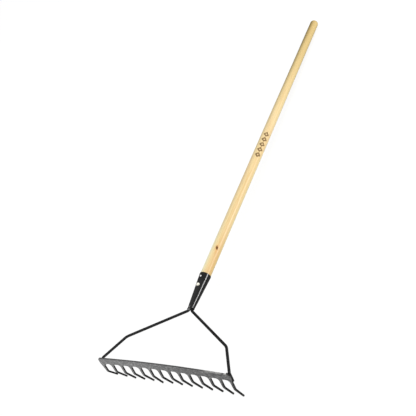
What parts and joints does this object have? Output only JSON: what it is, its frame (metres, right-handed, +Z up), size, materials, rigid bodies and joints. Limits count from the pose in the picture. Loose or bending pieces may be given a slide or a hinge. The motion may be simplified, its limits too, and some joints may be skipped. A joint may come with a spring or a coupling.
{
  "type": "bow rake",
  "caption": "Garden bow rake: hardwood pole in a tapered steel socket, with a bent-rod bow welded behind the ends of a stamped steel head with hooked tines.",
  "frame": {"origin": "centre of the rake's footprint on the ground it lies on: middle of its bounding box in X and Y, lowest point in Z", "axes": "+X along the head bar, +Y from the head to the free end of the pole, +Z up from the ground, with the tine tips and the end of the pole on z = 0"},
  "size_m": [0.4094, 1.3746, 0.0882],
  "materials": {
    "pole_wood": "pale yellow lacquered hardwood, satin gloss, long grain with one small dark knot",
    "socket_black": "gloss black enamel on steel",
    "rod_black": "satin black enamel on steel rod",
    "head_grey": "mid-grey satin coating, finely mottled, worn brighter on the top edge and darker on tine sides",
    "rivet_metal": "bright warm-plated steel",
    "nail_metal": "plain bright steel",
    "weld_black": "rough weld bead under black enamel"
  },
  "bodies": {
    "root": {"handle": "pole_wood", "socket": "socket_black", "bow_rod_left": "rod_black", "bow_rod_right": "rod_black", "rake_head": "head_grey", "socket_rivet": "rivet_metal", "socket_nail": "nail_metal", "socket_weld_left": "weld_black", "socket_weld_right": "weld_black", "bar_weld_left_outer": "weld_black", "bar_weld_left_inner": "weld_black", "bar_weld_right_outer": "weld_black", "bar_weld_right_inner": "weld_black"}
  },
  "joints": []
}
